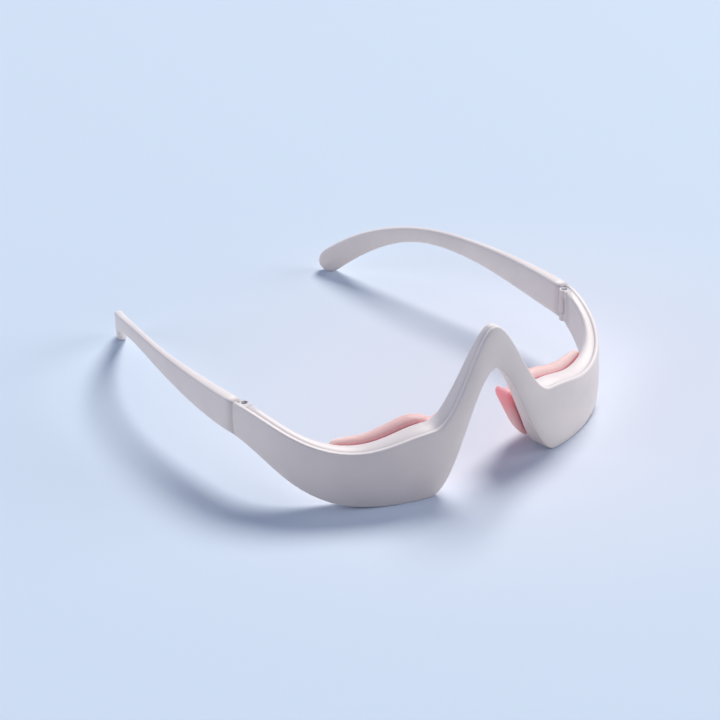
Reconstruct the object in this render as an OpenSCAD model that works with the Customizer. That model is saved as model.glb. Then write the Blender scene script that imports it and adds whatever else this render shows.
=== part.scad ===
// Red light therapy glasses: a hollow band that dips under the eyes and rises over the nose,
// two folding arms, and a silicone pad behind each lobe of the band.
// Millimetres. X runs across the face, +Y toward the ear tips, +Z up, and the glasses stand on z = 0.
// A place on the band is its distance s along the outer crease from the middle of the nose,
// its depth u outward of that crease, and its height z.

/* [Band plan] */
// Half length of the straight stretch over the nose
nose_flat = 15.5; // [13:0.5:18]
// Radius of the crease under the eye
brow_radius = 68; // [62:1:76]
// Turn of the band under the eye, in degrees
brow_turn = 34.5; // [31:0.5:37]
// Radius of the crease round the cheekbone
cheek_radius = 39.5; // [36:0.5:44]
// Turn of the band round the cheekbone, in degrees
cheek_turn = 34.5; // [31:0.5:37]
// Radius of the crease at the wing, in front of the hinge
wing_radius = 83; // [75:1:95]
// Turn of the band along the wing and the start of the arm, in degrees
wing_turn = 19; // [17:0.5:21]
// Distance along the crease from the middle of the nose to the hinge axis
hinge_at = 97.5; // [96.5:0.5:99]

/* [Band heights] */
// Height of the nose bridge's top
nose_top = 56; // [50:0.5:60]
// Height of the arch under the nose bridge
arch_top = 40.5; // [37:0.5:43]
// Height of the lobe's top edge beside the nose
lobe_top = 24.8; // [23:0.1:27]
// Height of the lobe's top edge at its lowest
dip_top = 21; // [20:0.1:22.5]
// Height of the band's top edge at the hinge
hinge_top = 31.3; // [30:0.1:33]
// Height of the band's bottom edge at the hinge
hinge_low = 18.7; // [18:0.1:20]
// Distance along the crease at which the nose's top edge has come down to the lobe
nose_run = 25; // [23:0.5:27]
// Distance along the crease at which the arch has come down to the lobe's foot
arch_run = 27.5; // [26:0.5:29]
// Distance along the crease to the lowest point of the top edge
dip_at = 51; // [48:0.5:54]
// Distance along the crease to the end of the lobe's flat foot
foot_end = 32; // [30.5:0.5:34]
// Distance along the crease at which both edges have climbed to the hinge
climb_end = 101.4; // [100.8:0.1:103]
// Fullness of the nose's two edges, where less than 1 narrows the peak
nose_fullness = 0.9; // [0.8:0.05:1]
// How late the bottom edge climbs to the hinge, where 1 is an even climb
climb_delay = 1.65; // [1.4:0.05:1.8]

/* [Band depth and walls] */
// Depth of the band over the nose, front to back
nose_depth = 4.4; // [4.3:0.1:5.5]
// Depth of the band at the lobe
lobe_depth = 9.6; // [9.4:0.1:10.5]
// Depth of the band at the hinge
hinge_depth = 4.4; // [4.3:0.1:5]
// Distance along the crease at which the lobe is deepest
deepest_at = 29.5; // [28:0.5:31]
// Wall of the front cover
cover_wall = 1.6; // [1.5:0.05:1.7]
// Wall of the rear housing
housing_wall = 1.2; // [1.1:0.05:1.3]
// Radius of the band's outer crease
crease_radius = 0.6; // [0.4:0.05:0.8]
// Largest radius of the housing's rear edges
rear_radius = 2; // [1.2:0.1:2.2]
// How far the cover's face swells between its creases
face_crown = 0.4; // [0.2:0.05:0.6]
// Bevel along both sides of the seam
seam_bevel = 0.06; // [0.04:0.01:0.1]
// Thickness of the cover's lip inside the housing
lip_wall = 0.7; // [0.5:0.05:0.8]
// Depth of the cover's lip inside the housing
lip_depth = 0.9; // [0.6:0.05:1]
// Length of the solid end of the housing that carries the hinge
end_block = 9; // [8.5:0.5:10]

/* [Arms] */
// Radius of the arm's straight stretch, seen from above
arm_radius = 288; // [260:1:320]
// Turn of the arm's straight stretch, in degrees
arm_turn = 14; // [12:0.5:16]
// Radius of the ear end, seen from above
ear_radius = 117; // [100:1:140]
// Distance along the crease from the middle of the nose to the ear tip
arm_end = 227.5; // [222:0.5:230]
// Distance along the crease at which the ear end starts to drop
drop_at = 158; // [154:0.5:162]
// How sharply the ear end bends down, where 2 is an even bend
drop_power = 2.4; // [2.1:0.05:2.6]
// Rise of the arm's centre line before it drops
arm_rise = 1.2; // [0.5:0.1:2]
// Height of the arm's section at its narrowest
arm_narrow = 5.9; // [5.4:0.1:6.5]
// Distance along the crease to the narrowest section
narrow_at = 183; // [178:0.5:188]
// Height of the arm's section at the ear tip
tip_height = 9.6; // [8.5:0.1:11]
// Thickness of the arm at mid length
arm_depth = 2.7; // [2.5:0.1:3.2]
// Thickness of the arm at the ear tip
tip_depth = 3.2; // [3:0.1:3.8]
// Radius of the arm's soft edges
arm_edge = 1; // [0.8:0.05:1.1]
// Radius of the ear tip's corners, seen from the side, as a share of the tip's height
tip_share = 0.46; // [0.36:0.01:0.48]
// Radius of the ear tip's end, seen from above
tip_round = 0.8; // [0.5:0.05:1]

/* [Hinges] */
// Depth of the hinge axis behind the outer crease
hinge_inset = 3.45; // [3.45:0.05:3.6]
// Radius of the hinge barrel
barrel_radius = 1.7; // [1.6:0.05:1.75]
// Height of each of the two fixed ears
ear_height = 3; // [2.6:0.1:3.3]
// How far the hinge's ends stay inside the band's top and bottom edges
hinge_sink = 0.3; // [0.2:0.05:0.5]
// Distance from the axis to the seam between the cover and the arm
seam_reach = 2; // [1.9:0.05:2.1]
// Space round the knuckle for the arm to swing in
knuckle_room = 0.3; // [0.25:0.05:0.4]
// Thickness of the plate that backs the fixed ears
ear_plate = 0.9; // [0.8:0.05:1]
// Thickness of the tangs that anchor both hinge leaves
tang_wall = 0.9; // [0.8:0.05:1]
// Length of the tangs
tang_length = 5; // [4:0.1:5.5]
// Height of the tangs
tang_height = 6.5; // [5.5:0.1:7]
// Radius of the hinge screw's shank
pin_radius = 0.7; // [0.6:0.05:0.75]
// Radius of the hinge screw's head
pin_head_radius = 1.15; // [1.05:0.05:1.2]
// Height of the hinge screw's head
pin_head = 0.8; // [0.6:0.05:1]
// Width of the slot in the hinge screw's head
slot_width = 0.3; // [0.2:0.05:0.4]
// Depth of the slot in the hinge screw's head
slot_depth = 0.4; // [0.2:0.05:0.5]

/* [Pads] */
// Distance along the crease to the pad's nose end
pad_start = 9.2; // [8.8:0.1:10]
// Distance along the crease to the pad's outer end
pad_end = 63; // [62:0.5:65]
// How far the pad's top edge stands over the band's, under the eye
pad_rise = 1.5; // [1:0.1:2]
// Distance along the crease at which the pad's top edge starts to come over the band's
pad_rise_at = 20; // [19:0.5:22]
// Extra height of the pad's top corner at its nose end
corner_lift = 1.2; // [0.5:0.1:1.8]
// Distance along the crease at which that extra height ends
corner_end = 17; // [16:0.5:18]
// How far the pad's top edge rounds down at its outer end
pad_fall = 1.6; // [1:0.1:2.4]
// Height of the pad's lower edge over the bottom of the band
pad_lift = 2.4; // [2.1:0.1:3]
// How far the pad's nose edge overhangs the band's flank
pad_overhang = 3; // [2:0.1:3.4]
// Distance along the crease at which the pad's lower edge turns up
pad_turn_at = 46; // [42:0.5:50]
// Thickness of the pad beside the nose
pad_thick = 7.8; // [7:0.1:8.5]
// Distance along the crease at which the pad begins to thin
pad_full_at = 36; // [32:0.5:40]
// Thickness of the pad toward its outer end
pad_thin = 4; // [3.4:0.1:4.6]
// Length over which the pad's nose end rounds off
pad_blunt = 2.2; // [1.6:0.1:3]
// Length over which the pad's outer end rounds off
pad_round = 10; // [8:0.5:12]
// Thickness of the pad's lower edge, as a part of its upper edge's
pad_wedge = 0.6; // [0.45:0.05:0.8]
// Height over the floor at which the pad reaches its full thickness
pad_wedge_high = 8; // [6:0.5:12]
// Gap between the housing and the pad's rim
pad_gap = 0.9; // [0.6:0.05:1.2]
// How far the pad's foot stays inside its rim
pad_foot_inset = 2.2; // [1.8:0.1:2.6]

/* [Light] */
// Distance along the crease to the window's near end
window_start = 29; // [28.5:0.5:30]
// Distance along the crease to the window's far end
window_end = 48.5; // [46:0.5:48.5]
// Height of the window's lower edge
window_low = 6.5; // [6:0.1:7]
// Height of the window's upper edge
window_high = 17; // [16:0.1:17.5]
// LEDs in each row
led_columns = 4; // [3:1:5]
// Size of an LED along the band and up it
led_size = 2; // [1.6:0.1:2.4]
// Height of an LED over its board
led_height = 0.6; // [0.5:0.05:0.7]
// Thickness of the flexible LED board
flex_wall = 0.3; // [0.2:0.05:0.35]
// Border of the LED board round the window
flex_border = 1.2; // [1:0.1:1.4]

/* [Electronics] */
// Length of the battery cell
cell_length = 24; // [21:0.5:24.5]
// Height of the battery cell
cell_height = 13; // [11:0.5:13.5]
// Thickness of the battery cell
cell_thick = 3; // [2.6:0.1:3.1]
// Length of the control board
board_length = 24; // [22:0.5:25]
// Height of the control board
board_height = 12; // [11.5:0.5:12.5]
// Thickness of the control board
board_wall = 0.8; // [0.6:0.1:0.9]
// Height of the control board's chips
chip_height = 1; // [0.8:0.1:1.1]
// Size of the control board's main chip
chip_size = 4; // [3:0.5:5]
// Distance along the crease to the charging port
port_at = 55; // [55:0.5:56]
// Width of the charging port's mouth
port_width = 8.94; // [8.8:0.02:9.1]
// Thickness of the charging port's mouth
port_thick = 3.2; // [3:0.05:3.25]
// Length of the charging port
port_length = 6.6; // [6:0.1:7]
// Wall of the charging port's shell
shell_wall = 0.3; // [0.2:0.05:0.4]
// Thickness of the charging port's tongue
tongue_wall = 0.7; // [0.6:0.05:0.8]
// Space between the charging port's tongue and its shell
tongue_side = 1.1; // [1:0.05:1.3]
// Width of the cable that crosses the nose
cable_width = 2; // [1.6:0.1:2.1]
// Thickness of the cable that crosses the nose
cable_wall = 0.2; // [0.15:0.05:0.3]

/* [Button] */
// Distance along the crease to the power button
button_at = 77; // [76:0.5:78]
// Radius of the power button's cap
button_radius = 3; // [2.6:0.1:3.3]
// How far the cap stands out of the cover
button_stand = 0.5; // [0.4:0.05:0.6]
// How far the button can be pressed
button_travel = 0.5; // [0.4:0.05:0.5]
// Rim that keeps the button in the cover
button_rim = 0.8; // [0.6:0.05:0.9]
// Thickness of the button's rim
rim_wall = 0.5; // [0.4:0.05:0.5]
// Bevel round the button's cap
button_bevel = 0.3; // [0.2:0.05:0.4]
// Radius of the button's switch
switch_radius = 1.7; // [1.4:0.1:2]
// Thickness of the board that carries the switch
switch_board = 0.4; // [0.3:0.05:0.5]

/* [Fasteners] */
// Radius of a cover screw's shank
screw_radius = 0.8; // [0.7:0.05:0.85]
// Radius of a cover screw's head
screw_head_radius = 1.4; // [1.3:0.05:1.5]
// Height of a cover screw's head
screw_head = 0.6; // [0.5:0.05:0.65]
// Depth of a cover screw's head under the housing's back
screw_sink = 0.3; // [0.2:0.05:0.35]
// Radius of the cover's screw bosses
boss_radius = 1.6; // [1.5:0.05:1.8]
// Distance along the crease to the screw beside the nose
near_screw_at = 22.5; // [22:0.5:23]
// Height of the screw beside the nose
near_screw_high = 10; // [9.8:0.1:10.1]
// Distance along the crease to the screw beside the cheek
far_screw_at = 63; // [62:0.5:64]
// Height of the screw beside the cheek
far_screw_high = 15.5; // [14.5:0.1:16]

/* [Fits] */
// Gap between the cover and the housing at the seam
seam_gap = 0.06; // [0.04:0.01:0.1]
// Clearance between parts that are placed into each other
seat_gap = 0.1; // [0.05:0.01:0.12]
// Running clearance round the hinge screw
pin_gap = 0.05; // [0.03:0.01:0.07]
// Running clearance round the power button
button_gap = 0.12; // [0.08:0.01:0.15]
// Gap between the pressed button and its switch
switch_gap = 0.05; // [0.03:0.01:0.1]
// Gap at the seam between the band and an arm
arm_gap = 0.2; // [0.15:0.01:0.25]
// Gap between a hinge leaf and the moulding that carries it
leaf_gap = 0.25; // [0.2:0.01:0.3]
// Gap on both sides of an LED
led_gap = 0.15; // [0.14:0.01:0.2]

/* [Hidden] */
fine = 48;
tiny = 0.01;
past = 1;

// Seam between the band and the arm, where the arm starts, and the housing's end
seam_at = hinge_at + seam_reach;
arm_start = seam_at + arm_gap;
plate_at = barrel_radius + knuckle_room;
housing_end = hinge_at - plate_at - ear_plate - leaf_gap;
block_start = housing_end - end_block;

// Blend from 0 to 1, where k above 1 starts it later
function ease(t, k = 1) = (1 - cos(180 * pow(min(max(t, 0), 1), k))) / 2;
// Fall from 1 to 0 along a quarter circle
function rounding(t) = sqrt(1 - pow(min(max(t, 0), 1), 2));
function arc_length(radius, turn) = radius * turn * PI / 180;
// How far an arc falls behind its chord's middle
function bow(chord, radius) = radius - sqrt(radius * radius - chord * chord / 4);

// Stretches of the plan, each as its length and its radius, 0 for a straight
plan_arcs = [
    [nose_flat, 0],
    [arc_length(brow_radius, brow_turn), brow_radius],
    [arc_length(cheek_radius, cheek_turn), cheek_radius],
    [arc_length(wing_radius, wing_turn), wing_radius],
    [arc_length(arm_radius, arm_turn), arm_radius],
    [arm_end, ear_radius],
];

// Point and heading after a step of length s on one stretch, and along the whole plan
function plan_step(p, s, r) = r == 0
    ? [p.x + s * cos(p.z), p.y + s * sin(p.z), p.z]
    : let (h = p.z + s / r * 180 / PI)
        [p.x + r * (sin(h) - sin(p.z)), p.y + r * (cos(p.z) - cos(h)), h];
function plan_walk(s, i = 0, p = [0, 0, 0]) =
    let (stretch = plan_arcs[i])
    s <= stretch[0] || i == len(plan_arcs) - 1
        ? plan_step(p, s, stretch[1])
        : plan_walk(s - stretch[0], i + 1, plan_step(p, stretch[0], stretch[1]));

// Edges and depth of the band
function band_top(s) = let (a = abs(s))
    nose_top + (lobe_top - nose_top) * ease(a / nose_run, nose_fullness)
    + (dip_top - lobe_top) * ease((a - nose_run) / (dip_at - nose_run))
    + (hinge_top - dip_top) * ease((a - dip_at) / (climb_end - dip_at));
function band_low(s) = let (a = abs(s))
    arch_top * (1 - ease(a / arch_run, nose_fullness))
    + hinge_low * ease((a - foot_end) / (climb_end - foot_end), climb_delay);
function band_middle(s) = (band_top(s) + band_low(s)) / 2;
function band_depth(s) = let (a = abs(s))
    nose_depth + (lobe_depth - nose_depth) * ease(a / deepest_at)
    + (hinge_depth - lobe_depth) * ease((a - deepest_at) / (block_start - deepest_at));
// How much taller an upright cut through a sloping edge is than a square one
slope_step = 0.5;
function lean(rise) = sqrt(1 + pow(rise / (2 * slope_step), 2));
function top_lean(s) = lean(band_top(abs(s) + slope_step) - band_top(abs(s) - slope_step));
function low_lean(s) = lean(band_low(abs(s) + slope_step) - band_low(abs(s) - slope_step));

// Arm: section height and thickness, centre line and its slope in degrees
root_height = band_top(seam_at) - band_low(seam_at);
root_middle = band_middle(seam_at);
drop_length = arm_end - drop_at;
tip_corner = tip_height * tip_share;
// Largest radius of the arm's edges, as a share of its thickness or height
arm_edge_share = 0.4;
function arm_height(s) = root_height
    + (arm_narrow - root_height) * ease((s - seam_at) / (narrow_at - seam_at))
    + (tip_height - arm_narrow) * ease((s - narrow_at) / (arm_end - narrow_at));
function arm_thick(s) = hinge_depth
    + (arm_depth - hinge_depth) * ease((s - seam_at) / (drop_at - seam_at))
    + (tip_depth - arm_depth) * ease((s - drop_at) / drop_length);
function drop_part(s) = max(0, (s - drop_at) / drop_length);
function drop_slope(drop, s) =
    atan(drop * drop_power * pow(drop_part(s), drop_power - 1) / drop_length);
function dropped_middle(drop, s) = root_middle + arm_rise * ease((s - seam_at) / (drop_at - seam_at))
    - drop * pow(drop_part(s), drop_power);
// How far the ear tip's end is drawn in by a corner of radius r
function tip_inset(s, r) = r * (1 - rounding((s - arm_end + r) / r));
tip_steps = 6;
tip_places = [for (i = [0 : tip_steps]) arm_end - tip_corner * (1 - sin(90 * i / tip_steps))];
// The drop that brings the ear tip's lower corner down to the floor, found in a few rounds
function tip_lowest(drop) = min([for (s = tip_places)
    dropped_middle(drop, s) - (arm_height(s) / 2 - tip_inset(s, tip_corner)) * cos(drop_slope(drop, s))]);
drop_rounds = 16;
function tip_drop(drop, rounds) = rounds < 1 ? drop : tip_drop(drop + tip_lowest(drop), rounds - 1);
ear_drop = tip_drop(root_middle, drop_rounds);
function arm_middle(s) = dropped_middle(ear_drop, s);
function arm_slope(s) = -drop_slope(ear_drop, s);

// Point of the band at s, u outward of the crease and z up; a left place has a negative s
function band_plan(s) = let (p = plan_walk(abs(s))) s < 0 ? [-p.x, p.y, -p.z] : p;
function band_point(s, u, z) =
    let (p = band_plan(s)) [p.x + u * sin(p.z), p.y - u * cos(p.z) + front_y, z];
// Point of the arm's section at s, u outward of the crease and w up the tilted section
function arm_place(s, u, w) =
    let (p = plan_walk(s), back = -sin(arm_slope(s)) * w)
    [p.x + u * sin(p.z) + back * cos(p.z), p.y - u * cos(p.z) + back * sin(p.z),
        arm_middle(s) + cos(arm_slope(s)) * w];
function arm_point(s, u, w) = arm_place(s, u, w) + [0, front_y, 0];
// The glasses are centred on the origin, from the nose to the ear tips
rear_reach = max([for (s = tip_places, q = arm_outline(s)) arm_place(s, q.x, q.y).y]);
front_y = (face_crown - rear_reach) / 2;

// Triangles that fill an outline, cut off one corner at a time, the shortest cut first
function reverse(list) = [for (i = [len(list) - 1 : -1 : 0]) list[i]];
function twist(a, b, c) = (b.x - a.x) * (c.y - a.y) - (b.y - a.y) * (c.x - a.x);
function inside(a, b, c, p) = twist(a, b, p) >= 0 && twist(b, c, p) >= 0 && twist(c, a, p) >= 0;
function corner_cut(outline, loop, i) =
    let (n = len(loop), k = [loop[(i + n - 1) % n], loop[i], loop[(i + 1) % n]],
        a = outline[k[0]], b = outline[k[1]], c = outline[k[2]],
        blocked = [for (j = loop) if (j != k[0] && j != k[1] && j != k[2] && inside(a, b, c, outline[j])) j])
    twist(a, b, c) > tiny * tiny && len(blocked) == 0 ? [[norm(a - c), k, i]] : [];
function fill(outline, loop) = len(loop) == 3 ? [loop] :
    let (cuts = [for (i = [0 : len(loop) - 1]) each corner_cut(outline, loop, i)],
        least = min([for (cut = cuts) cut[0]]),
        best = [for (cut = cuts) if (cut[0] == least) cut][0])
    concat([best[1]], fill(outline, [for (i = [0 : len(loop) - 1]) if (i != best[2]) loop[i]]));

// A closed solid through rings of points. Their outlines run counterclockwise, with u to the
// right and z up, and all have as many points.
module sweep(outlines, rings) {
    n = len(outlines[0]);
    last = len(rings) - 1;
    every = [for (j = [0 : n - 1]) j];
    sides = [for (i = [0 : last - 1], j = [0 : n - 1])
        let (a = i * n + j, b = i * n + (j + 1) % n) each [[a, b, a + n], [b, b + n, a + n]]];
    start = [for (t = fill(outlines[0], every)) reverse(t)];
    end = [for (t = fill(outlines[last], every)) [for (j = t) last * n + j]];
    polyhedron([for (ring = rings) each ring], concat(sides, start, end));
}
module band_sweep(stations, outlines) {
    sweep(outlines, [for (i = [0 : len(stations) - 1])
        [for (q = outlines[i]) band_point(stations[i], q.x, q.y)]]);
}
function steps(from, to, count) = [for (i = [0 : count]) from + (to - from) * i / count];
// Outline of an upright strip between two depths and two heights
function strip(back, front, low, high) = [[back, low], [front, low], [front, high], [back, high]];
// Quarter round from the upright face to the level edge, as steps of [inward, along the face]
function quarter(r, count) = [for (i = [0 : count]) let (a = 90 * i / count)
    [r * (1 - cos(a)), r * (1 - sin(a))]];

module left() {
    mirror([1, 0, 0]) children();
}
// Puts a child at a place on the band: its x along the band, its -y outward, its z up
module at_band(s, u, z) {
    translate(band_point(s, u, z)) rotate([0, 0, band_plan(s).z]) children();
}

// Stations along the band, closer together where the nose is steep
nose_step = 1.9;
lobe_step = 3.4;
half_stations = concat(
    [for (i = [0 : floor(arch_run / nose_step)]) i * nose_step],
    [for (i = [1 : floor((block_start - past - arch_run) / lobe_step)]) arch_run + i * lobe_step],
    [block_start - tiny, block_start + slope_step, block_start + end_block / 2, housing_end]);
cover_half = concat(half_stations, [hinge_at, seam_at]);
function both_sides(half) = concat([for (i = [len(half) - 1 : -1 : 1]) -half[i]], half);
housing_stations = both_sides(half_stations);
cover_stations = both_sides(cover_half);

// Front cover
lip_start = housing_wall + seat_gap;
lip_end = lip_start + lip_wall;
function cover_outline(s) =
    let (top = band_top(s), low = band_low(s), lt = top_lean(s), ll = low_lean(s),
        round = quarter(crease_radius, 3), n = len(round) - 1,
        lip_back = -cover_wall - (abs(s) < block_start ? lip_depth : seam_gap / 2),
        back = -cover_wall, shoulder = (top - low) / 4, swell = face_crown * 3 / 4)
    concat(
        [[back, low + seam_bevel * ll], [back + seam_bevel, low]],
        [for (i = [n : -1 : 0]) [-round[i].x, low + round[i].y * ll]],
        [[swell, low + shoulder], [face_crown, (low + top) / 2], [swell, top - shoulder]],
        [for (i = [0 : n]) [-round[i].x, top - round[i].y * lt]],
        [[back + seam_bevel, top], [back, top - seam_bevel * lt],
            [back, top - lip_start * lt], [lip_back, top - lip_start * lt],
            [lip_back, top - lip_end * lt], [back, top - lip_end * lt],
            [back, low + lip_end * ll], [lip_back, low + lip_end * ll],
            [lip_back, low + lip_start * ll], [back, low + lip_start * ll]]);

// Screws, each as its distance along the crease, its height, and the depth of the band there
screws = [for (place = [[near_screw_at, near_screw_high], [far_screw_at, far_screw_high]])
    [place.x, place.y, band_depth(place.x)]];
// How deep a boss may reach before it meets the housing's back, which isn't parallel to the cover
function boss_reach(s) = min(band_depth(s - boss_radius), band_depth(s + boss_radius))
    - housing_wall - 2 * seat_gap;
// A rod on a screw's axis, from a depth inside the crease and pointing to the back
module screw_rod(side, screw, radius, depth, length) {
    at_band(side * screw.x, -depth, screw.y) rotate([-90, 0, 0])
        cylinder(r = radius, h = length, $fn = fine);
}

button_high = band_middle(button_at);
shoulder_depth = cover_wall - rim_wall - seam_gap;
// Puts a child on the button's axis, with z pointing out of the cover
module at_button() {
    at_band(button_at, 0, button_high) rotate([90, 0, 0]) children();
}

module front_cover() {
    color("#E9E5E6") difference() {
        union() {
            band_sweep(cover_stations, [for (s = cover_stations) cover_outline(s)]);
            for (side = [-1, 1], screw = screws)
                screw_rod(side, screw, boss_radius, cover_wall / 2, boss_reach(screw.x) - cover_wall / 2);
        }
        for (side = [-1, 1], screw = screws)
            screw_rod(side, screw, screw_radius + tiny, cover_wall, screw.z);
        at_port() linear_extrude(port_length + seat_gap) port_outline(seat_gap);
        at_button() {
            translate([0, 0, -cover_wall - past])
                cylinder(r = button_radius + button_gap, h = cover_wall + 2 * past, $fn = fine);
            translate([0, 0, -cover_wall - past])
                cylinder(r = button_radius + button_rim + button_gap,
                    h = cover_wall + past - shoulder_depth, $fn = fine);
        }
    }
}

// Rear housing, whose rear radius takes at most a share of the band's depth
housing_front = -cover_wall - seam_gap;
rear_share = 0.2;
function housing_outline(s) =
    let (top = band_top(s), low = band_low(s), lt = top_lean(s), ll = low_lean(s),
        back = -band_depth(s), front = housing_front,
        round = quarter(min(rear_radius, band_depth(s) * rear_share), 4), n = len(round) - 1,
        floor_at = abs(s) < block_start ? back + housing_wall : front - housing_wall / 4)
    concat(
        [[front, top - seam_bevel * lt], [front - seam_bevel, top]],
        [for (i = [n : -1 : 0]) [back + round[i].x, top - round[i].y * lt]],
        [for (i = [0 : n]) [back + round[i].x, low + round[i].y * ll]],
        [[front - seam_bevel, low], [front, low + seam_bevel * ll],
            [front, low + housing_wall * ll], [floor_at, low + housing_wall * ll],
            [floor_at, top - housing_wall * lt], [front, top - housing_wall * lt]]);

module rear_housing() {
    color("#F4F0F0") difference() {
        band_sweep(housing_stations, [for (s = housing_stations) housing_outline(s)]);
        for (side = [0, 1]) mirror([side, 0, 0]) {
            window_block(0, past);
            at_hinge() frame_tang(seat_gap);
        }
        for (side = [-1, 1], screw = screws) {
            screw_rod(side, screw, screw_radius + seat_gap, cover_wall, screw.z);
            screw_rod(side, screw, screw_head_radius + seat_gap, screw.z - screw_sink - screw_head,
                lobe_depth);
        }
        at_port() translate([0, 0, -port_floor - past])
            linear_extrude(port_floor + housing_wall + 2 * past) port_outline(seat_gap);
    }
}

// Light window, and the opening it sits in
module window_block(inset, extra) {
    places = steps(window_start + inset, window_end - inset, 6);
    band_sweep(places, [for (s = places) let (back = -band_depth(s))
        strip(back - extra, back + housing_wall + extra, window_low + inset, window_high - inset)]);
}
module light_window() {
    color("#F6E9EA") window_block(seat_gap, -tiny);
}

// Flexible LED board, bonded round the window, and its LEDs
led_front = housing_wall + led_height + 2 * led_gap;
module led_board() {
    places = steps(window_start - flex_border, window_end + flex_border, 10);
    color("#E8E8E0") band_sweep(places, [for (s = places) let (back = led_front - band_depth(s))
        strip(back, back + flex_wall, window_low - flex_border, window_high + flex_border)]);
}
module leds() {
    pitch = (window_end - window_start) / led_columns;
    rise = (window_high - window_low) / 2;
    color("#B8323A") for (i = [0 : led_columns - 1], j = [0, 1]) {
        s = window_start + (i + 0.5) * pitch;
        at_band(s, led_front - led_gap - led_height / 2 - band_depth(s), window_low + (j + 0.5) * rise)
            cube([led_size, led_height, led_size], center = true);
    }
}

// Silicone pad: a crowned leaf on an inset foot, thick beside the nose and thin at its edges
pad_least = 0.6;
function pad_high(s) = band_top(max(s, nose_run))
    + pad_rise * ease((s - pad_rise_at) / (deepest_at - pad_rise_at))
    + corner_lift * ease((corner_end - s) / (corner_end - pad_start))
    - pad_fall * (1 - rounding((s - pad_end + pad_round) / pad_round));
function pad_low(s) = let (base = pad_lift + band_low(s + pad_overhang))
    base + (pad_high(s) - base) * (1 - rounding((s - pad_turn_at) / (pad_end - pad_turn_at)));
function pad_bulge(s) =
    (pad_thick + (pad_thin - pad_thick) * ease((s - pad_full_at) / (pad_end - pad_full_at)))
    * rounding((pad_start + pad_blunt - s) / pad_blunt)
    * rounding((s - pad_end + pad_round) / pad_round);
pad_points = 11;
// Powers that square off the pad's section, across it and through its thickness
pad_square = 0.85;
pad_fullness = 0.6;
function pad_outline(s) =
    let (middle = (pad_high(s) + pad_low(s)) / 2, half = max(pad_least, (pad_high(s) - pad_low(s)) / 2),
        foot = -band_depth(s) - seat_gap, rim = -band_depth(s) - pad_gap,
        thick = max(pad_least, pad_bulge(s)), edge = min(pad_least, half, thick) / 3,
        in = half - min(pad_foot_inset, half / 2))
    concat(
        [[rim, middle - in], [foot, middle - in], [foot, middle + in], [rim, middle + in],
            [rim, middle + half - edge]],
        [for (i = [0 : pad_points]) let (a = 90 - 180 * i / pad_points,
            z = middle + half * sign(sin(a)) * pow(abs(sin(a)), pad_square),
            wedge = ease((z - pad_lift) / (pad_wedge_high - pad_lift)))
            [rim - edge - (thick - edge) * pow(max(cos(a), 0), pad_fullness)
                * (pad_wedge + (1 - pad_wedge) * wedge), z]],
        [[rim, middle - half + edge]]);
pad_blunt_steps = 4;
pad_middle_steps = 16;
pad_round_steps = 7;
pad_middle = pad_end - pad_round - pad_start - pad_blunt;
pad_stations = concat(
    [for (i = [0 : pad_blunt_steps]) pad_start + tiny
        + (pad_blunt - tiny) * (1 - cos(90 * i / pad_blunt_steps))],
    [for (i = [1 : pad_middle_steps]) pad_start + pad_blunt + pad_middle * i / pad_middle_steps],
    [for (i = [1 : pad_round_steps]) pad_end - tiny
        - (pad_round - tiny) * (1 - sin(90 * i / pad_round_steps))]);
module pad() {
    color("#F2B9B8") band_sweep(pad_stations, [for (s = pad_stations) pad_outline(s)]);
}

// Hinge: the height of each level, and a frame at the axis with x outward and y toward the ear tip
hinge_high = band_top(hinge_at) - hinge_sink;
hinge_base = band_low(hinge_at) + hinge_sink;
knuckle_low = hinge_base + ear_height + seat_gap;
knuckle_high = hinge_high - ear_height - seat_gap;
neck_end = seam_reach + arm_gap - leaf_gap;
inner_face = hinge_inset - hinge_depth;
module at_hinge() {
    at_band(hinge_at, -hinge_inset, 0) rotate([0, 0, -90]) children();
}
// Tangs of the frame's leaf and of the arm's leaf, or their pockets when they are grown
module tang(x, y, grow) {
    translate([x - grow, y - grow, root_middle - tang_height / 2 - grow])
        cube([tang_wall + 2 * grow, tang_length + 2 * grow, tang_height + 2 * grow]);
}
module frame_tang(grow) {
    tang(-tang_wall / 3, tiny - plate_at - ear_plate - tang_length, grow);
}
module arm_tang(grow) {
    tang(0, neck_end - tiny, grow);
}
module axis_bore(radius, low, high) {
    translate([0, 0, low]) cylinder(r = radius, h = high - low, $fn = fine);
}
// A block of a hinge leaf, flush with the band's inner face
module leaf_block(from, to, low, high) {
    translate([inner_face, from, low]) cube([barrel_radius - inner_face, to - from, high - low]);
}
module frame_hinge() {
    color("#E9E5E6") at_hinge() difference() {
        union() {
            for (z = [hinge_base, hinge_high - ear_height]) {
                axis_bore(barrel_radius, z, z + ear_height);
                leaf_block(-plate_at, 0, z, z + ear_height);
            }
            leaf_block(-plate_at - ear_plate, -plate_at, hinge_base, hinge_high);
            frame_tang(0);
        }
        axis_bore(pin_radius + pin_gap, hinge_base - past, hinge_high + past);
        axis_bore(pin_head_radius + pin_gap, hinge_high - pin_head, hinge_high + past);
    }
}
module arm_hinge() {
    color("#E9E5E6") at_hinge() difference() {
        union() {
            axis_bore(barrel_radius, knuckle_low, knuckle_high);
            leaf_block(0, neck_end, knuckle_low, knuckle_high);
            arm_tang(0);
        }
        axis_bore(pin_radius + pin_gap, knuckle_low - past, knuckle_high + past);
    }
}
module hinge_screw() {
    neck = hinge_high - pin_head;
    color("#5D5B64") at_hinge() difference() {
        union() {
            axis_bore(pin_radius, hinge_base, neck + tiny);
            axis_bore(pin_head_radius, neck, hinge_high - seat_gap);
        }
        translate([-past - pin_head_radius, -slot_width / 2, hinge_high - seat_gap - slot_depth])
            cube([2 * pin_head_radius + 2 * past, slot_width, slot_depth + past]);
    }
}

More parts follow.
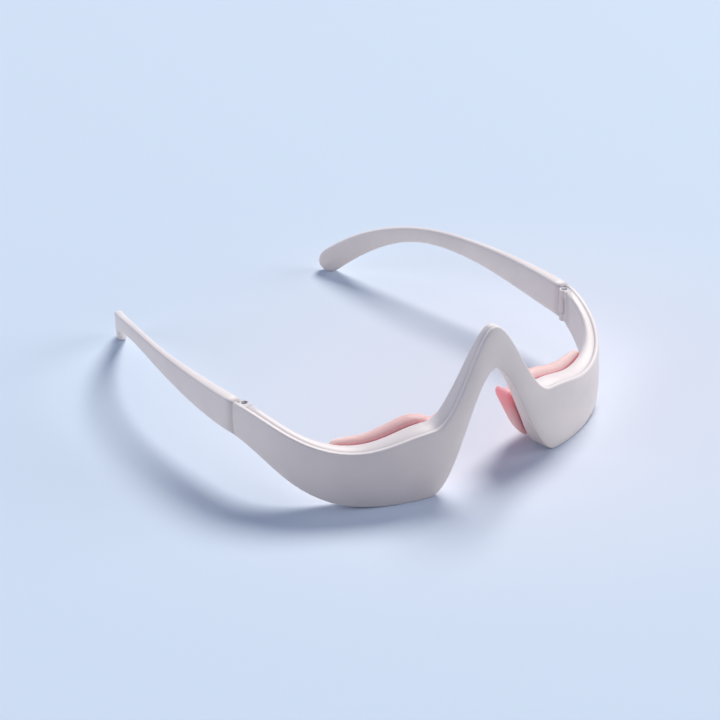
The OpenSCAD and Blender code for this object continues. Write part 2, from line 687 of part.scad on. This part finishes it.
// Arm: a rounded section with one crisp crease, outer and uppermost
function arm_outline(s) =
    let (h = arm_height(s) / 2 - tip_inset(s, tip_corner), in = tip_inset(s, tip_round),
        outer = -in, inner = in - arm_thick(s),
        e = min(arm_edge, (outer - inner) * arm_edge_share, 2 * h * arm_edge_share),
        soft = quarter(e, 2), crisp = quarter(min(crease_radius, e), 2))
    concat(
        [for (i = [2 : -1 : 0]) [outer - soft[i].x, soft[i].y - h]],
        [for (i = [0 : 2]) [outer - crisp[i].x, h - crisp[i].y]],
        [for (i = [2 : -1 : 0]) [inner + soft[i].x, h - soft[i].y]],
        [for (i = [0 : 2]) [inner + soft[i].x, soft[i].y - h]]);
arm_steps = 24;
module arm() {
    places = concat(steps(arm_start, tip_places[0], arm_steps), [for (i = [1 : tip_steps]) tip_places[i]]);
    outlines = [for (s = places) arm_outline(s)];
    color("#E9E5E6") difference() {
        sweep(outlines, [for (i = [0 : len(places) - 1])
            [for (q = outlines[i]) arm_point(places[i], q.x, q.y)]]);
        at_hinge() arm_tang(seat_gap);
    }
}

// Battery cell, between the left LED board and the cover
module battery() {
    front = cover_wall + bow(cell_length, brow_radius) + cable_wall + 3 * seat_gap;
    color("#C9CCD2") left()
        at_band((window_start + window_end) / 2, -front - cell_thick / 2, (window_low + window_high) / 2)
            cube([cell_length, cell_thick, cell_height], center = true);
}

// Charging port: a stadium shell with its tongue, opening down through the housing's floor
port_floor = band_low(port_at + port_width / 2) + seat_gap;
port_depth = cover_wall + bow(port_width, cheek_radius) + 2 * seat_gap + port_thick / 2;
module at_port() {
    at_band(port_at, -port_depth, port_floor) children();
}
module port_outline(grow) {
    width = port_width + 2 * grow;
    thick = port_thick + 2 * grow;
    square([width - thick, thick], center = true);
    for (side = [-1, 1]) translate([side * (width - thick) / 2, 0]) circle(d = thick, $fn = fine);
}
module charging_port() {
    tongue = port_width - 2 * tongue_side;
    color("#B9BCC2") at_port() {
        difference() {
            linear_extrude(port_length) port_outline(0);
            translate([0, 0, -past]) linear_extrude(port_length - shell_wall + past)
                port_outline(-shell_wall);
        }
        translate([-tongue / 2, -tongue_wall / 2, tongue_side])
            cube([tongue, tongue_wall, port_length - tongue_side - shell_wall / 2]);
    }
}

// Control board with its chips, notched round the charging port
module control_board() {
    middle = window_start + board_length / 2;
    front = cover_wall + bow(board_length, brow_radius) + seat_gap + chip_height;
    low = window_low - flex_border;
    heading = band_plan(middle).z;
    turn = band_plan(port_at).z - heading;
    port = band_point(port_at, -port_depth, 0) - band_point(middle, -front, 0);
    notch_x = port.x * cos(heading) + port.y * sin(heading)
        - port_width / 2 * cos(turn) - port_thick / 2 * sin(turn) - seat_gap;
    notch_z = port_floor + port_length + seat_gap - low;
    color("#3E7A55") at_band(middle, -front, low) {
        difference() {
            translate([-board_length / 2, 0, 0]) cube([board_length, board_wall, board_height]);
            translate([notch_x, -past, -past])
                cube([board_length, board_wall + 2 * past, notch_z + past]);
        }
        for (i = [-1, 0]) translate([(2 * i + 0.5) * chip_size, tiny - chip_height, board_height / 2])
            cube([chip_size, chip_height, chip_size]);
        translate([-1.5 * chip_size, tiny - chip_height / 2, chip_size / 4])
            cube([2 * chip_size, chip_height / 2, chip_size / 2]);
    }
}

// Power button, and the switch behind it on its own small board
module power_button() {
    rim_top = -shoulder_depth - seam_gap / 2;
    cap_top = face_crown + button_stand;
    color("#E9E5E6") at_button() {
        translate([0, 0, rim_top - rim_wall])
            cylinder(r = button_radius + button_rim, h = rim_wall, $fn = fine);
        translate([0, 0, rim_top - tiny])
            cylinder(r = button_radius, h = cap_top - button_bevel - rim_top + tiny, $fn = fine);
        translate([0, 0, cap_top - button_bevel])
            cylinder(r1 = button_radius, r2 = button_radius - 2 * button_bevel, h = button_bevel, $fn = fine);
    }
}
module button_switch() {
    front = shoulder_depth + seam_gap / 2 + rim_wall + button_travel + switch_gap;
    back = band_depth(button_at) - housing_wall - seat_gap;
    color("#D8C9A0") at_button() {
        translate([0, 0, switch_board / 2 - back])
            cube([4 * switch_radius, 3 * switch_radius, switch_board], center = true);
        translate([0, 0, switch_board - tiny - back])
            cylinder(r = switch_radius, h = back - switch_board + tiny - front, $fn = fine);
    }
}

// Flat cable across the nose, taped to the inside of the cover, midway between the lips, from
// one board to the other
function cable_middle(s) = band_middle(s) + lip_end * (low_lean(s) - top_lean(s)) / 2;
module bridge_cable() {
    reach = window_start + cable_width / 2;
    places = steps(-reach, reach, 22);
    color("#C98A3C") band_sweep(places, [for (s = places)
        let (half = cable_width / 2 * (top_lean(s) + low_lean(s)) / 2, front = housing_front)
        strip(front - cable_wall, front, cable_middle(s) - half, cable_middle(s) + half)]);
}

// Cover screws, from behind into the cover's bosses
module cover_screws() {
    color("#A9A9AE") for (side = [-1, 1], screw = screws) {
        screw_rod(side, screw, screw_head_radius, screw.z - screw_sink - screw_head + tiny,
            screw_head - tiny);
        screw_rod(side, screw, screw_radius, cover_wall + past,
            screw.z - screw_sink - cover_wall - past - tiny);
    }
}

front_cover();
rear_housing();
left() pad();  // left_pad
pad();  // right_pad
left() light_window();  // left_light_window
light_window();  // right_light_window
left() led_board();  // left_led_board
led_board();  // right_led_board
left() leds();  // left_leds
leds();  // right_leds
battery();
control_board();
charging_port();
power_button();
button_switch();
bridge_cable();
cover_screws();
left() frame_hinge();  // left_frame_hinge
frame_hinge();  // right_frame_hinge
left() arm_hinge();  // left_arm_hinge
arm_hinge();  // right_arm_hinge
left() hinge_screw();  // left_hinge_screw
hinge_screw();  // right_hinge_screw
left() arm();  // left_arm
arm();  // right_arm
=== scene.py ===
import bpy
import math
from mathutils import Matrix, Vector
from mathutils.bvhtree import BVHTree


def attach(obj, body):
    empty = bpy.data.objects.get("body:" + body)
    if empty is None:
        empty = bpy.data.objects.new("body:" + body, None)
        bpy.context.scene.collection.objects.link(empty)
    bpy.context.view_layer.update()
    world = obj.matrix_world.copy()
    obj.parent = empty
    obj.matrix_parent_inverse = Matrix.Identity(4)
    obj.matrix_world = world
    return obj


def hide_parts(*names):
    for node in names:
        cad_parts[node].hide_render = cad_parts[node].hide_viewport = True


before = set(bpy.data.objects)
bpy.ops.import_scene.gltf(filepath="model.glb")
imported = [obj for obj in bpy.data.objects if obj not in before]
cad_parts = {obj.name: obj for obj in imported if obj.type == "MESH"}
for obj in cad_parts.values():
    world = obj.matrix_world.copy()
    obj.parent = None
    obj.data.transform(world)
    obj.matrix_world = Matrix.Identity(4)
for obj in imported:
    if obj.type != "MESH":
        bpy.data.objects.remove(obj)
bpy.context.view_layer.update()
mm = 0.001       # the scene is in metres, and the sizes below are in millimetres
joinGap = 0.002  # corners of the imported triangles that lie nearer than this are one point


# helpers for selections, meshes and materials

def deselectAll():
    if bpy.context.object and bpy.context.object.mode != "OBJECT":
        bpy.ops.object.mode_set(mode="OBJECT")
    bpy.ops.object.select_all(action="DESELECT")


def makeActive(piece):
    deselectAll()
    piece.select_set(True)
    bpy.context.view_layer.objects.active = piece


def applyModifier(piece, kind, settings):
    makeActive(piece)
    modifier = piece.modifiers.new(kind.lower(), kind)
    for name, value in settings.items():
        setattr(modifier, name, value)
    bpy.ops.object.modifier_apply(modifier=modifier.name)


def mergedCopy(nodeName, pieceName):
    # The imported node's triangles as one joined mesh, in a new object that may be shaped and shaded
    piece = bpy.data.objects.new(pieceName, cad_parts[nodeName].data.copy())
    piece.data.materials.clear()
    bpy.context.scene.collection.objects.link(piece)
    makeActive(piece)
    bpy.ops.object.mode_set(mode="EDIT")
    bpy.ops.mesh.select_all(action="SELECT")
    bpy.ops.mesh.remove_doubles(threshold=joinGap * mm)
    bpy.ops.object.mode_set(mode="OBJECT")
    return piece


def linear(hexColour):
    # sRGB hex to the linear colour that the shaders work in
    parts = [int(hexColour[i:i + 2], 16) / 255 for i in (1, 3, 5)]
    return [c / 12.92 if c <= 0.04045 else ((c + 0.055) / 1.055) ** 2.4 for c in parts] + [1.0]


def addNode(tree, kind, settings=None, links=None):
    # settings: socket or property -> value, or a ramp's stops; links: input socket -> output of another node
    node = tree.nodes.new(kind)
    for name, value in (settings or {}).items():
        if name == "stops":
            for place, colour in value[1:-1]:
                node.color_ramp.elements.new(place)
            for stop, (place, colour) in zip(node.color_ramp.elements, value):
                stop.position = place
                stop.color = linear(colour)
        elif isinstance(name, int) or name in node.inputs:
            node.inputs[name].default_value = value
        else:
            setattr(node, name, value)
    for name, source in (links or {}).items():
        tree.links.new(source, node.inputs[name])
    return node


def newMaterial(name, base):
    # A material whose plain values sit on the shader's own sockets, with the Object coordinates beside it
    made = bpy.data.materials.new(name)
    made.use_nodes = True
    tree = made.node_tree
    shader = tree.nodes["Principled BSDF"]
    for socket, value in base.items():
        shader.inputs[socket].default_value = value
    return made, tree, shader, addNode(tree, "ShaderNodeTexCoord").outputs["Object"]


def feed(tree, shader, sources):
    for socket, source in sources.items():
        tree.links.new(source, shader.inputs[socket])


def paint(nodeNames, material):
    for name in nodeNames:
        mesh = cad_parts[name].data
        mesh.materials.clear()
        mesh.materials.append(material)


# camera, at the photograph's viewing angle

photoCamera = {
    "place": (-0.4230, -0.61526, 0.3980),
    "azimuth": -34.81,
    "elevation": 27.56,
    "roll": -1.65,
    "lens": 115,
    "sensor": 36,
}


def makeCamera(c):
    a, e, r = (math.radians(c[k]) for k in ("azimuth", "elevation", "roll"))
    forward = Vector((-math.sin(a) * math.cos(e), math.cos(a) * math.cos(e), -math.sin(e)))
    level = Vector((math.cos(a), math.sin(a), 0))
    upright = level.cross(forward)
    right = level * math.cos(r) + upright * math.sin(r)
    up = upright * math.cos(r) - level * math.sin(r)
    data = bpy.data.cameras.new("photoCamera")
    data.lens = c["lens"]
    data.sensor_width = c["sensor"]
    camera = bpy.data.objects.new("photoCamera", data)
    bpy.context.scene.collection.objects.link(camera)
    turn = Matrix((right, up, -forward)).transposed()
    camera.matrix_world = Matrix.Translation(c["place"]) @ turn.to_4x4()
    bpy.context.scene.camera = camera


makeCamera(photoCamera)
print("camera set")


# floor, world and lamps

studio = {
    "floorSize": 2.4,
    "paper": {"Roughness": 0.9, "Specular IOR Level": 0.1},
    "floorPaintedPool": "#E6EFFF",     # pale blue paper with a painted pool of light in the middle, as the camera, a gloss or a clear part sees it
    "floorEdge": "#D6EAFF",
    "paintedPoolPlace": (0.04, -0.04),   # a pool of light is painted on the paper here, round the object, and fades to the paper's own deeper blue beyond the pool's size
    "paintedPoolSize": 0.2,
    "bounceColour": "#E0E0E0",    # what it throws back onto the object
    "skyColour": "#BACAFB",       # the light that falls from all round
    "skyStrength": 0.2,
    "backColour": "#DCE9FC",      # the far background, as the camera, a gloss or a clear part sees it
    "backStrength": 0.9,
}

lamps = {
    "keyLight": {"place": (4.96, 2.98, 6.89), "size": 4.2, "power": 715, "colour": "#FFF6EC"},
    "sideLight": {"place": (1.60, -1.10, 0.60), "size": 1.4, "power": 15.5, "colour": "#FFFBF4"},
    "farLight": {"place": (-2.00, 0.60, 0.80), "size": 1.6, "power": 12.5, "colour": "#FFFFFF"},
}


def seenDirectly(tree):
    # 1 for what the camera, a gloss or a clear part sees, and 0 for the light that falls on the object
    path = addNode(tree, "ShaderNodeLightPath")
    direct = addNode(tree, "ShaderNodeMath", {"operation": "MAXIMUM"},
                     {0: path.outputs["Is Camera Ray"], 1: path.outputs["Is Glossy Ray"]})
    seen = addNode(tree, "ShaderNodeMath", {"operation": "MAXIMUM"},
                   {0: direct.outputs[0], 1: path.outputs["Is Transmission Ray"]})
    return seen.outputs[0]


def makeFloor(s):
    deselectAll()
    bpy.ops.mesh.primitive_plane_add(size=s["floorSize"], location=(0, 0, 0))
    floor = bpy.context.object
    floor.name = "studioFloor"
    material, tree, shader, coords = newMaterial("paperBackdrop", s["paper"])
    # painted light: the paper is paler in a pool round the object and fades to its own blue at the edge
    pool = addNode(tree, "ShaderNodeMapping",
                   {"Location": (-s["paintedPoolPlace"][0], -s["paintedPoolPlace"][1], 0)}, {"Vector": coords})
    reach = addNode(tree, "ShaderNodeVectorMath", {"operation": "LENGTH"}, {0: pool.outputs["Vector"]})
    edge = addNode(tree, "ShaderNodeMapRange", {
        "From Min": 0.0, "From Max": s["paintedPoolSize"], "interpolation_type": "SMOOTHSTEP"},
        {"Value": reach.outputs["Value"]})
    paper = addNode(tree, "ShaderNodeValToRGB", {"stops": [(0, s["floorPaintedPool"]), (1, s["floorEdge"])]},
                    {"Fac": edge.outputs["Result"]})
    bounce = addNode(tree, "ShaderNodeMix", {"data_type": "RGBA", 6: linear(s["bounceColour"])},
                     {0: seenDirectly(tree), 7: paper.outputs["Color"]})
    feed(tree, shader, {"Base Color": bounce.outputs[2]})
    floor.data.materials.append(material)


def makeWorld(s):
    world = bpy.context.scene.world or bpy.data.worlds.new("studioWorld")
    bpy.context.scene.world = world
    world.use_nodes = True
    tree = world.node_tree
    seen = seenDirectly(tree)
    tint = addNode(tree, "ShaderNodeMix", {
        "data_type": "RGBA", 6: linear(s["skyColour"]), 7: linear(s["backColour"])}, {0: seen})
    power = addNode(tree, "ShaderNodeMapRange", {"To Min": s["skyStrength"], "To Max": s["backStrength"]},
                    {"Value": seen})
    feed(tree, tree.nodes["Background"], {"Color": tint.outputs[2], "Strength": power.outputs["Result"]})


def makeLamp(name, s):
    # A round soft box that points at the middle of the floor
    lamp = bpy.data.lights.new(name, "AREA")
    lamp.shape = "DISK"
    lamp.size = s["size"]
    lamp.energy = s["power"]
    lamp.color = linear(s["colour"])[:3]
    box = bpy.data.objects.new(name, lamp)
    bpy.context.scene.collection.objects.link(box)
    box.location = s["place"]
    box.rotation_euler = (-Vector(s["place"])).to_track_quat("-Z", "Y").to_euler()


makeFloor(studio)
makeWorld(studio)
for name, settings in lamps.items():
    makeLamp(name, settings)
bpy.context.scene.view_settings.view_transform = "Standard"
print("studio set")


# plastics

shellFinish = {
    "shader": {"IOR": 1.53},
    "tones": ("#E9E4E7", "#F0ECEE"),  # two near whites: the flow of the melt shows as a faint mottle
    "mottleSize": 16,
    "mottleSpan": (0.3, 0.7),         # the part of the noise over which the tone and the gloss change
    "grainSize": 0.45,                # the real sparked grain is near 0.1 mm, too fine for the picture
    "grainDepth": 0.006,
    "roughness": (0.4, 0.5),
}
leafFinish = {**shellFinish, "tones": ("#E4DFE3", "#EAE6E9"), "roughness": (0.28, 0.36)}


def mouldedPlastic(name, f):
    # Injection-moulded in a spark-eroded tool: a soft broad gloss over a faint, even grain
    material, tree, shader, coords = newMaterial(name, f["shader"])
    mottle = addNode(tree, "ShaderNodeTexNoise", {"Scale": 1 / (f["mottleSize"] * mm), "Detail": 3},
                     {"Vector": coords})
    tone = addNode(tree, "ShaderNodeValToRGB", {"stops": list(zip(f["mottleSpan"], f["tones"]))},
                   {"Fac": mottle.outputs["Fac"]})
    sheen = addNode(tree, "ShaderNodeMapRange", {
        "From Min": f["mottleSpan"][0], "From Max": f["mottleSpan"][1],
        "To Min": f["roughness"][0], "To Max": f["roughness"][1]}, {"Value": mottle.outputs["Fac"]})
    grain = addNode(tree, "ShaderNodeTexNoise", {"Scale": 1 / (f["grainSize"] * mm), "Detail": 1},
                    {"Vector": coords})
    bump = addNode(tree, "ShaderNodeBump", {"Distance": f["grainDepth"] * mm},
                   {"Height": grain.outputs["Fac"]})
    feed(tree, shader, {"Base Color": tone.outputs["Color"], "Roughness": sheen.outputs["Result"],
                        "Normal": bump.outputs["Normal"]})
    return material


windowFinish = {
    "shader": {"IOR": 1.58, "Transmission Weight": 0.7},
    "tones": ("#F0CFD2", "#F7E6E7"),
    "toneSpan": (0.25, 0.75),
    "frostSize": 0.5,                 # blasted pits, drawn coarser than the real 0.05 mm
    "frostDepth": 0.01,
    "roughness": (0.25, 0.5),
}


def frostedWindow(f):
    # Polycarbonate with a frosted face: clear, faintly pink, blurred where the tool was blasted
    material, tree, shader, coords = newMaterial("frostedPolycarbonate", f["shader"])
    frost = addNode(tree, "ShaderNodeTexNoise", {"Scale": 1 / (f["frostSize"] * mm), "Detail": 2},
                    {"Vector": coords})
    tint = addNode(tree, "ShaderNodeValToRGB", {"stops": list(zip(f["toneSpan"], f["tones"]))},
                   {"Fac": frost.outputs["Fac"]})
    blur = addNode(tree, "ShaderNodeMapRange", {"To Min": f["roughness"][0], "To Max": f["roughness"][1]},
                   {"Value": frost.outputs["Fac"]})
    bump = addNode(tree, "ShaderNodeBump", {"Distance": f["frostDepth"] * mm},
                   {"Height": frost.outputs["Fac"]})
    feed(tree, shader, {"Base Color": tint.outputs["Color"], "Roughness": blur.outputs["Result"],
                        "Normal": bump.outputs["Normal"]})
    return material


shell = mouldedPlastic("mouldedWhiteAbs", shellFinish)
leaf = mouldedPlastic("mouldedHingeAcetal", leafFinish)
paint(["power_button"], shell)
paint(["left_frame_hinge", "right_frame_hinge", "left_arm_hinge", "right_arm_hinge"], leaf)
paint(["left_light_window", "right_light_window"], frostedWindow(windowFinish))
print("plastics set")


# metals

screwFinish = {
    "tones": ("#85838B", "#A9A7AF"),
    "toneSpan": (0.3, 0.7),
    "streakLength": 2.5,
    "streakWidth": 0.06,              # turning marks, drawn coarser than the real 0.02 mm
    "roughness": (0.24, 0.42),
}
platingFinish = {
    "tones": ("#A9ABB2", "#C6C8CF"),
    "toneSpan": (0.3, 0.7),
    "streakLength": 6,
    "streakWidth": 0.08,
    "roughness": (0.2, 0.36),
}


def turnedSteel(name, f):
    # Steel turned and plated: fine rings round the upright axis catch the light unevenly
    material, tree, shader, coords = newMaterial(name, {"Metallic": 1.0})
    along, across = 1 / (f["streakLength"] * mm), 1 / (f["streakWidth"] * mm)
    lie = addNode(tree, "ShaderNodeMapping", {"Scale": (along, along, across)}, {"Vector": coords})
    streaks = addNode(tree, "ShaderNodeTexNoise", {"Scale": 1.0, "Detail": 2},
                      {"Vector": lie.outputs["Vector"]})
    tone = addNode(tree, "ShaderNodeValToRGB", {"stops": list(zip(f["toneSpan"], f["tones"]))},
                   {"Fac": streaks.outputs["Fac"]})
    gloss = addNode(tree, "ShaderNodeMapRange", {"To Min": f["roughness"][0], "To Max": f["roughness"][1]},
                    {"Value": streaks.outputs["Fac"]})
    feed(tree, shader, {"Base Color": tone.outputs["Color"], "Roughness": gloss.outputs["Result"]})
    return material


pouchFinish = {
    "shader": {"Metallic": 1.0, "Roughness": 0.34},
    "tones": ("#9EA3AB", "#C3C7CE"),
    "toneSpan": (0.0, 0.7),
    "creaseSize": 3.5,
    "creaseDepth": 0.12,
    "creaseStrength": 0.5,
}


def laminatedPouch(f):
    # Aluminium laminate shrunk round the cell: a bright, slightly crumpled skin
    material, tree, shader, coords = newMaterial("laminatedAluminium", f["shader"])
    creases = addNode(tree, "ShaderNodeTexVoronoi", {
        "Scale": 1 / (f["creaseSize"] * mm), "feature": "SMOOTH_F1"}, {"Vector": coords})
    tone = addNode(tree, "ShaderNodeValToRGB", {"stops": list(zip(f["toneSpan"], f["tones"]))},
                   {"Fac": creases.outputs["Distance"]})
    bump = addNode(tree, "ShaderNodeBump", {
        "Distance": f["creaseDepth"] * mm, "Strength": f["creaseStrength"]},
        {"Height": creases.outputs["Distance"]})
    feed(tree, shader, {"Base Color": tone.outputs["Color"], "Normal": bump.outputs["Normal"]})
    return material


paint(["left_hinge_screw", "right_hinge_screw"], turnedSteel("satinNickel", screwFinish))
paint(["cover_screws", "charging_port"], turnedSteel("platedSteel", platingFinish))
paint(["battery"], laminatedPouch(pouchFinish))
print("metals set")


# circuit boards, LEDs and the cable

boardFinish = {
    "shader": {"Roughness": 0.38, "IOR": 1.5, "Coat Weight": 0.4, "Coat Roughness": 0.2},
    "wander": 1.5,     # how far the copper runs stray from straight
    "runDepth": 0.03,  # how far they lift the lacquer
    "runStrength": 0.6,
}
boards = {
    # material: its nodes, the mask, the mask over copper, the pitch of the runs and the copper's share of it;
    # the real pitch is 0.3 to 0.5 mm, and the runs are drawn coarser so that they can be told apart
    "whiteMaskFlex": (["left_led_board", "right_led_board"], "#E9E8E2", "#D9D2BE", 3.16, 0.3),
    "greenMaskLaminate": (["control_board"], "#1F5B34", "#3B8050", 1.58, 0.4),
    "switchLaminate": (["button_switch"], "#C9B98C", "#D8CBA6", 2.37, 0.3),
    "polyimideFilm": (["bridge_cable"], "#B86F22", "#D8964A", 0.99, 0.5),
}
waveTurn = 20  # a wave texture's phase, in radians, over one unit at a scale of 1


def tracedBoard(name, f, mask, copper, pitch, copperShare):
    # A lacquered circuit: copper runs show as paler lines under the solder mask
    material, tree, shader, coords = newMaterial(name, f["shader"])
    runs = addNode(tree, "ShaderNodeTexWave", {
        "Scale": math.tau / waveTurn / (pitch * mm), "Distortion": f["wander"], "Detail": 0,
        "bands_direction": "Z"}, {"Vector": coords})
    tone = addNode(tree, "ShaderNodeValToRGB", {
        "stops": [(0.0, mask), (1 - copperShare, mask), (1.0, copper)]}, {"Fac": runs.outputs["Fac"]})
    bump = addNode(tree, "ShaderNodeBump", {"Distance": f["runDepth"] * mm, "Strength": f["runStrength"]},
                   {"Height": runs.outputs["Fac"]})
    feed(tree, shader, {"Base Color": tone.outputs["Color"], "Normal": bump.outputs["Normal"]})
    return material


for name, (nodeNames, *look) in boards.items():
    paint(nodeNames, tracedBoard(name, boardFinish, *look))

ledFinish = {
    "shader": {"Roughness": 0.12, "IOR": 1.55, "Transmission Weight": 0.35},
    "tones": ("#D0323C", "#7E0F18"),
    "toneSpan": (0.1, 0.7),
    "cupSize": 1.1,
}


def redResin(f):
    # Clear epoxy over a red die: brighter in the middle of each cup, dark at its rim
    material, tree, shader, coords = newMaterial("redEpoxy", f["shader"])
    cups = addNode(tree, "ShaderNodeTexVoronoi", {"Scale": 1 / (f["cupSize"] * mm)}, {"Vector": coords})
    tone = addNode(tree, "ShaderNodeValToRGB", {"stops": list(zip(f["toneSpan"], f["tones"]))},
                   {"Fac": cups.outputs["Distance"]})
    feed(tree, shader, {"Base Color": tone.outputs["Color"]})
    return material


paint(["left_leds", "right_leds"], redResin(ledFinish))
print("electrics set")


# shell mouldings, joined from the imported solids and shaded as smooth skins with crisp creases

mouldings = {
    # node: (piece, body, largest angle that is still shaded as one surface)
    "front_cover": ("frontCover", "root", 32),
    "rear_housing": ("rearHousing", "root", 32),
    "left_arm": ("leftArm", "left_arm", 40),
    "right_arm": ("rightArm", "right_arm", 40),
}

for nodeName, (pieceName, body, angle) in mouldings.items():
    piece = mergedCopy(nodeName, pieceName)
    bpy.ops.object.shade_smooth_by_angle(angle=math.radians(angle))
    piece.data.materials.append(shell)
    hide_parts(nodeName)
    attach(piece, body)
print("mouldings made")


# silicone pads

padShape = {
    "voxel": 0.6,
    "smoothing": 5,
    "smoothFactor": 0.5,
    "rampStart": 1.0,           # behind the band the top rises from the band's level to the crest
    "rampReach": 3.2,
    "rampDrop": 1.3,
    "cornerEnd": (10.5, 14.5),  # the slope fades out toward the nose, where a corner is left standing
    "saddleIn": (9.5, 15.5),    # beside that corner the top sinks below the band
    "saddleOut": (22.0, 16.5),
    "saddleDrop": 3.3,
}
padFinish = {
    "shader": {"IOR": 1.41, "Subsurface Weight": 1.0, "Subsurface Radius": (1.0, 0.75, 0.7)},
    "scatterDepth": 9,
    "tones": ("#E2909B", "#F0A6AD", "#FBBEC0", "#FDC9C8"),  # painted shade: deep along the band's contact line and at the nose end, where shade falls, then pale where lit
    "toneStops": (0, 0.2, 0.5, 1),
    "contactShadeFade": (0.4, 1.3),     # distances from the housing between which the painted shade of the contact line fades
    "noseShadeFade": (8.0, 24.0),    # and the places across the face between which the painted shade at the nose end fades
    "grainSize": 0.5,           # the blasted tool's grain, drawn coarser than the real 0.1 mm
    "grainDepth": 0.012,
    "roughness": (0.38, 0.56),
}


def castSilicone(f):
    # Platinum-cured silicone from a blasted tool: light sinks in a few millimetres and comes back warmer
    material, tree, shader, coords = newMaterial("castSilicone", {
        **f["shader"], "Subsurface Scale": f["scatterDepth"] * mm})
    # The tone is painted shade: deep where the pad meets the housing and at the nose end, where shade falls,
    # and pale where lit
    paintedShadeFade = addNode(tree, "ShaderNodeAttribute", {"attribute_name": "reach"})
    tone = addNode(tree, "ShaderNodeValToRGB", {"stops": list(zip(f["toneStops"], f["tones"]))},
                   {"Fac": paintedShadeFade.outputs["Fac"]})
    grain = addNode(tree, "ShaderNodeTexNoise", {"Scale": 1 / (f["grainSize"] * mm), "Detail": 2},
                    {"Vector": coords})
    bump = addNode(tree, "ShaderNodeBump", {"Distance": f["grainDepth"] * mm},
                   {"Height": grain.outputs["Fac"]})
    blur = addNode(tree, "ShaderNodeMapRange", {"To Min": f["roughness"][0], "To Max": f["roughness"][1]},
                   {"Value": grain.outputs["Fac"]})
    feed(tree, shader, {"Base Color": tone.outputs["Color"], "Normal": bump.outputs["Normal"],
                        "Roughness": blur.outputs["Result"]})
    return material


def housingSurface():
    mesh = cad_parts["rear_housing"].data
    return BVHTree.FromPolygons([v.co for v in mesh.vertices], [tuple(p.vertices) for p in mesh.polygons])


def share(value, start, end):
    return min(max((value - start) / (end - start), 0), 1)


def between(value, start, end):
    # 0 at start and 1 at end, with a soft turn at both
    t = share(value, start, end)
    return t * t * (3 - 2 * t)


def settleTop(piece, s, housing):
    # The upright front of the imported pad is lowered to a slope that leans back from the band's edge
    crest = {}  # the top's height at each whole millimetre across the face
    for vertex in piece.data.vertices:
        place = round(abs(vertex.co.x) / mm)
        crest[place] = max(crest.get(place, 0), vertex.co.z / mm)
    for vertex in piece.data.vertices:
        across = abs(vertex.co.x) / mm
        before = math.floor(across)
        top = crest.get(before, crest.get(before + 1))
        top += (crest.get(before + 1, top) - top) * (across - before)
        away = (vertex.co - housing.find_nearest(vertex.co)[0]).xy.length / mm
        behind = share(away, s["rampStart"], s["rampStart"] + s["rampReach"])
        top -= s["rampDrop"] * (1 - behind) ** 2 * between(across, *s["cornerEnd"])
        top -= s["saddleDrop"] * between(across, *s["saddleIn"]) * between(across, *s["saddleOut"])
        vertex.co.z = min(vertex.co.z, top * mm)


def makePad(side, s, f, housing, silicone):
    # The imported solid's form, remeshed fine and relaxed until its edges roll over like a casting's
    piece = mergedCopy(side + "_pad", side + "Pad")
    applyModifier(piece, "REMESH", {"mode": "VOXEL", "voxel_size": s["voxel"] * mm})
    settleTop(piece, s, housing)
    applyModifier(piece, "SMOOTH", {"factor": s["smoothFactor"], "iterations": s["smoothing"]})
    applyModifier(piece, "SUBSURF", {"levels": 1, "render_levels": 1})
    # painted shade: 0 at the housing's contact line and toward the nose end, rising to 1 where the pad is lit
    reach = piece.data.attributes.new("reach", "FLOAT", "POINT")
    for vertex, value in zip(piece.data.vertices, reach.data):
        away = housing.find_nearest(vertex.co)[3] / mm
        value.value = between(away, *f["contactShadeFade"]) * between(abs(vertex.co.x) / mm, *f["noseShadeFade"])
    makeActive(piece)
    bpy.ops.object.shade_smooth()
    piece.data.materials.append(silicone)
    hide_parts(side + "_pad")
    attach(piece, "root")
    print(piece.name, "faces", len(piece.data.polygons))


housing = housingSurface()
silicone = castSilicone(padFinish)
for side in ("left", "right"):
    makePad(side, padShape, padFinish, housing, silicone)
print("pads made")
